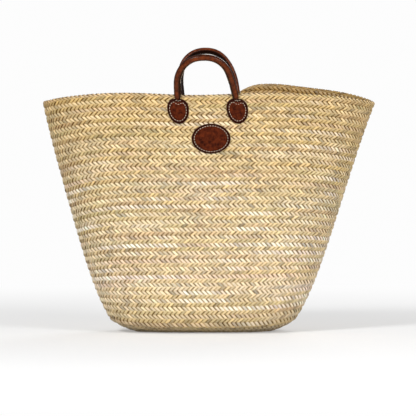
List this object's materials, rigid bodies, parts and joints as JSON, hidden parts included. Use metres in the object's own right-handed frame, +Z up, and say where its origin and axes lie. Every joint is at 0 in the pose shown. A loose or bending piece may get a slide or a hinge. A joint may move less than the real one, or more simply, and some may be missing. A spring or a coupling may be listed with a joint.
{
  "type": "woven market basket",
  "caption": "Large oval-based shopping basket of plaited palm leaf with rolled leather handles on stitched leather tabs.",
  "frame": {"origin": "on the resting plane, under the middle of the mouth", "axes": "+Z up, X along the mouth's wide direction, -Y out of the front wall that carries the oval patch"},
  "size_m": [0.5966, 0.325, 0.5179],
  "materials": {
    "plaited_palm_leaf": "matte, flat palm leaf strips in a herringbone plait",
    "tab_leather": "satin, smooth reddish brown with darker cut edges",
    "rolled_leather": "satin, mid brown, fine creases across the roll",
    "stitching_thread": "matte waxed thread",
    "rope": "matte twisted fibre"
  },
  "bodies": {
    "root": {"base_course_1": "plaited_palm_leaf", "base_course_2": "plaited_palm_leaf", "base_course_3": "plaited_palm_leaf", "base_course_4": "plaited_palm_leaf", "base_course_5": "plaited_palm_leaf", "base_course_6": "plaited_palm_leaf", "wall_course_01": "plaited_palm_leaf", "wall_course_02": "plaited_palm_leaf", "wall_course_03": "plaited_palm_leaf", "wall_course_04": "plaited_palm_leaf", "wall_course_05": "plaited_palm_leaf", "wall_course_06": "plaited_palm_leaf", "wall_course_07": "plaited_palm_leaf", "wall_course_08": "plaited_palm_leaf", "wall_course_09": "plaited_palm_leaf", "wall_course_10": "plaited_palm_leaf", "wall_course_11": "plaited_palm_leaf", "wall_course_12": "plaited_palm_leaf", "wall_course_13": "plaited_palm_leaf", "wall_course_14": "plaited_palm_leaf", "wall_course_15": "plaited_palm_leaf", "wall_course_16": "plaited_palm_leaf", "wall_course_17": "plaited_palm_leaf", "wall_course_18": "plaited_palm_leaf", "wall_course_19": "plaited_palm_leaf", "wall_course_20": "plaited_palm_leaf", "wall_course_21": "plaited_palm_leaf", "wall_course_22": "plaited_palm_leaf", "wall_course_23": "plaited_palm_leaf", "wall_course_24": "plaited_palm_leaf", "wall_course_25": "plaited_palm_leaf", "wall_course_26": "plaited_palm_leaf", "wall_course_27": "plaited_palm_leaf", "wall_course_28": "plaited_palm_leaf", "wall_course_29": "plaited_palm_leaf", "wall_course_30": "plaited_palm_leaf", "oval_patch": "tab_leather", "oval_patch_stitching": "stitching_thread", "front_left_tab": "tab_leather", "front_right_tab": "tab_leather", "back_left_tab": "tab_leather", "back_right_tab": "tab_leather", "front_left_tab_stitching": "stitching_thread", "front_right_tab_stitching": "stitching_thread", "back_left_tab_stitching": "stitching_thread", "back_right_tab_stitching": "stitching_thread", "front_left_roll_end": "rolled_leather", "front_right_roll_end": "rolled_leather", "back_left_roll_end": "rolled_leather", "back_right_roll_end": "rolled_leather"},
    "front_handle": {"front_handle_sleeve": "rolled_leather", "front_handle_rope_core": "rope", "front_handle_seam_thread": "stitching_thread"},
    "back_handle": {"back_handle_sleeve": "rolled_leather", "back_handle_rope_core": "rope", "back_handle_seam_thread": "stitching_thread"}
  },
  "joints": [
    {"name": "front_handle_hinge", "type": "hinge", "parent": "root", "child": "front_handle", "pos_m": [-0.0012, -0.13599, 0.43229], "axis": [1, 0, 0], "range_deg": [-110, 110], "deforming": ["front_left_roll_end", "front_right_roll_end"]},
    {"name": "back_handle_hinge", "type": "hinge", "parent": "root", "child": "back_handle", "pos_m": [0.0032, 0.13581, 0.43874], "axis": [-1, 0, 0], "range_deg": [-79, 141], "deforming": ["back_left_roll_end", "back_right_roll_end"]}
  ]
}
